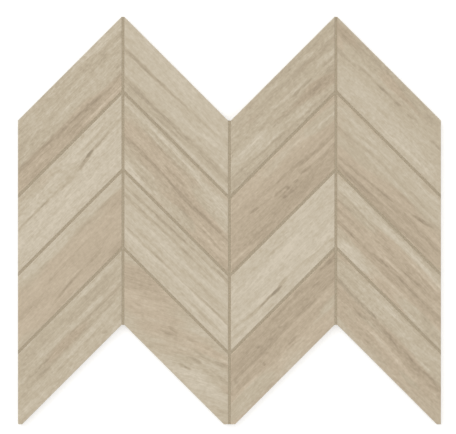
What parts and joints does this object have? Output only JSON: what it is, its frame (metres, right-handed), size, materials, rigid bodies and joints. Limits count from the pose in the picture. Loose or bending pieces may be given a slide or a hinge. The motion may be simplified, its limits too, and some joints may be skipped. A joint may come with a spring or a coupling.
{
  "type": "chevron wall tile",
  "caption": "mesh-backed chevron mosaic wall tile sheet of slanted wood-look porcelain chips in sand and taupe, with filled joints and zigzag ends",
  "frame": {"origin": "middle of the back of the sheet, on the surface that it lies on", "axes": "+X across the columns, +Y towards the two peaks, +Z out of the printed face"},
  "size_m": [0.3, 0.289, 0.0085],
  "materials": {
    "printed_porcelain": "matte",
    "cement_grout": "matte",
    "fibreglass_mesh": "matte"
  },
  "bodies": {
    "root": {"chip_column1_row1": "printed_porcelain", "chip_column1_row2": "printed_porcelain", "chip_column1_row3": "printed_porcelain", "chip_column1_row4": "printed_porcelain", "chip_column2_row1": "printed_porcelain", "chip_column2_row2": "printed_porcelain", "chip_column2_row3": "printed_porcelain", "chip_column2_row4": "printed_porcelain", "chip_column3_row1": "printed_porcelain", "chip_column3_row2": "printed_porcelain", "chip_column3_row3": "printed_porcelain", "chip_column3_row4": "printed_porcelain", "chip_column4_row1": "printed_porcelain", "chip_column4_row2": "printed_porcelain", "chip_column4_row3": "printed_porcelain", "chip_column4_row4": "printed_porcelain", "joint_grout": "cement_grout", "mesh_column_1": "fibreglass_mesh", "mesh_column_2": "fibreglass_mesh", "mesh_column_3": "fibreglass_mesh", "mesh_column_4": "fibreglass_mesh"}
  },
  "joints": []
}
